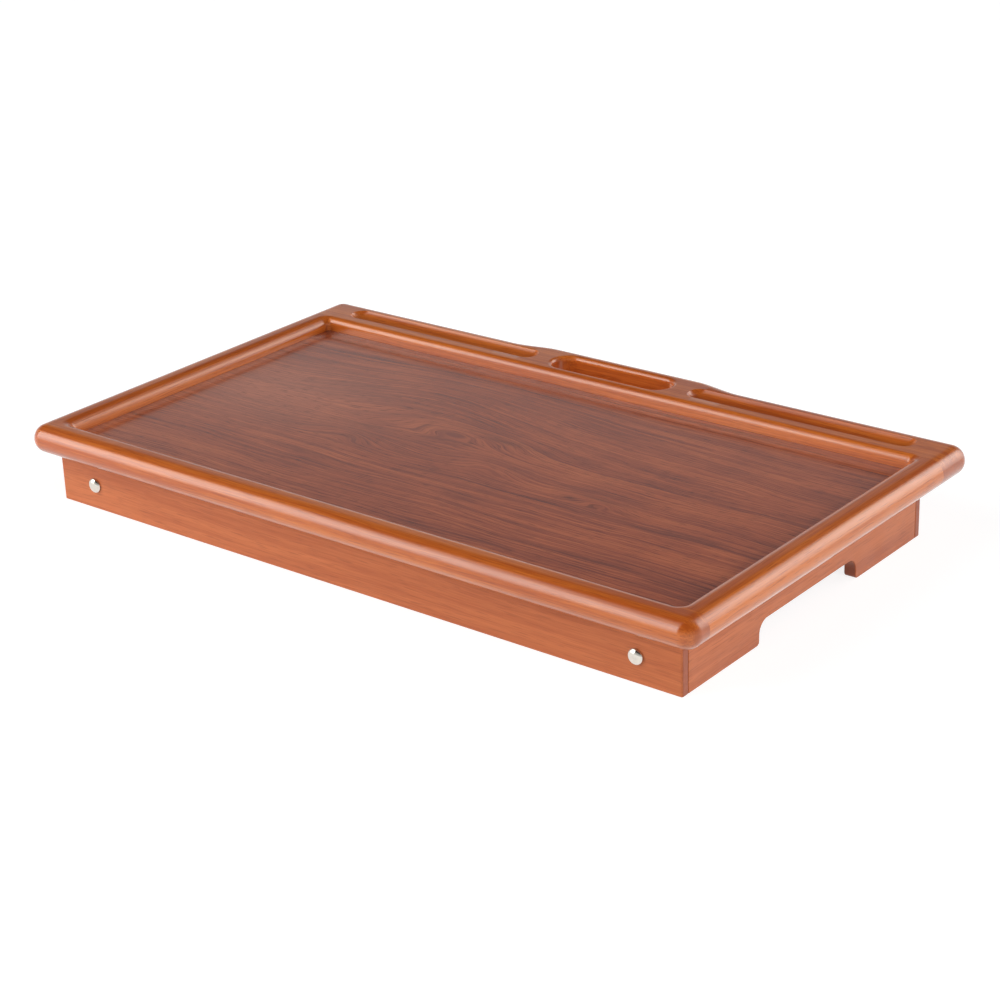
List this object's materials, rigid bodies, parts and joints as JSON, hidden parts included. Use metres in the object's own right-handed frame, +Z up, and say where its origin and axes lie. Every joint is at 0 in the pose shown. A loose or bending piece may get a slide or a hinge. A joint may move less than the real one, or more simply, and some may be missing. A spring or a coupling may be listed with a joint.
{
  "type": "breakfast tray",
  "caption": "Wooden breakfast tray with a round-edged rim, sunk panel, pen grooves and a hand slot, on a shallow apron that houses folding leg frames.",
  "frame": {"origin": "on the surface that the tray stands on, under the middle of the rim's outline, with the legs folded up", "axes": "+X along the long side to the right, +Y from the plain front rail to the rear rail with the hand slot, +Z up"},
  "size_m": [0.596, 0.36, 0.0603],
  "materials": {
    "rim_wood": "glossy reddish-brown stain and lacquer",
    "apron_wood": "satin reddish-orange stain",
    "panel_veneer": "satin walnut veneer, grain along X",
    "dowel_wood": "unfinished beech, hidden in the joints",
    "polished_nickel": "polished nickel plate",
    "zinc_steel": "bright zinc plate",
    "nylon": "natural nylon"
  },
  "bodies": {
    "tray": {"front_apron": "apron_wood", "front_apron_left_dowel": "dowel_wood", "front_apron_middle_dowel": "dowel_wood", "front_apron_right_dowel": "dowel_wood", "front_rail": "rim_wood", "left_end_board": "apron_wood", "left_end_front_dowel": "dowel_wood", "left_end_rear_dowel": "dowel_wood", "left_front_corner_block": "apron_wood", "left_front_lock_nut": "zinc_steel", "left_front_pivot_bolt": "polished_nickel", "left_front_rail_dowel": "dowel_wood", "left_front_spacer": "nylon", "left_front_washer": "zinc_steel", "left_rail": "rim_wood", "left_rear_corner_block": "apron_wood", "left_rear_lock_nut": "zinc_steel", "left_rear_pivot_bolt": "polished_nickel", "left_rear_rail_dowel": "dowel_wood", "left_rear_spacer": "nylon", "left_rear_washer": "zinc_steel", "rear_apron": "apron_wood", "rear_apron_left_dowel": "dowel_wood", "rear_apron_middle_dowel": "dowel_wood", "rear_apron_right_dowel": "dowel_wood", "rear_rail": "rim_wood", "right_end_board": "apron_wood", "right_end_front_dowel": "dowel_wood", "right_end_rear_dowel": "dowel_wood", "right_front_corner_block": "apron_wood", "right_front_lock_nut": "zinc_steel", "right_front_pivot_bolt": "polished_nickel", "right_front_rail_dowel": "dowel_wood", "right_front_spacer": "nylon", "right_front_washer": "zinc_steel", "right_rail": "rim_wood", "right_rear_corner_block": "apron_wood", "right_rear_lock_nut": "zinc_steel", "right_rear_pivot_bolt": "polished_nickel", "right_rear_rail_dowel": "dowel_wood", "right_rear_spacer": "nylon", "right_rear_washer": "zinc_steel", "tray_panel": "panel_veneer"},
    "left_legs": {"left_front_leg": "apron_wood", "left_rear_leg": "apron_wood", "left_stretcher": "apron_wood"},
    "right_legs": {"right_front_leg": "apron_wood", "right_rear_leg": "apron_wood", "right_stretcher": "apron_wood"}
  },
  "joints": [
    {"name": "left_leg_fold", "type": "hinge", "parent": "tray", "child": "left_legs", "pos_m": [-0.2455, -0.0154, 0.0189], "axis": [0, 1, 0], "range_deg": [0, 95]},
    {"name": "right_leg_fold", "type": "hinge", "parent": "tray", "child": "right_legs", "pos_m": [0.2455, -0.0154, 0.0189], "axis": [0, -1, 0], "range_deg": [0, 95]}
  ]
}
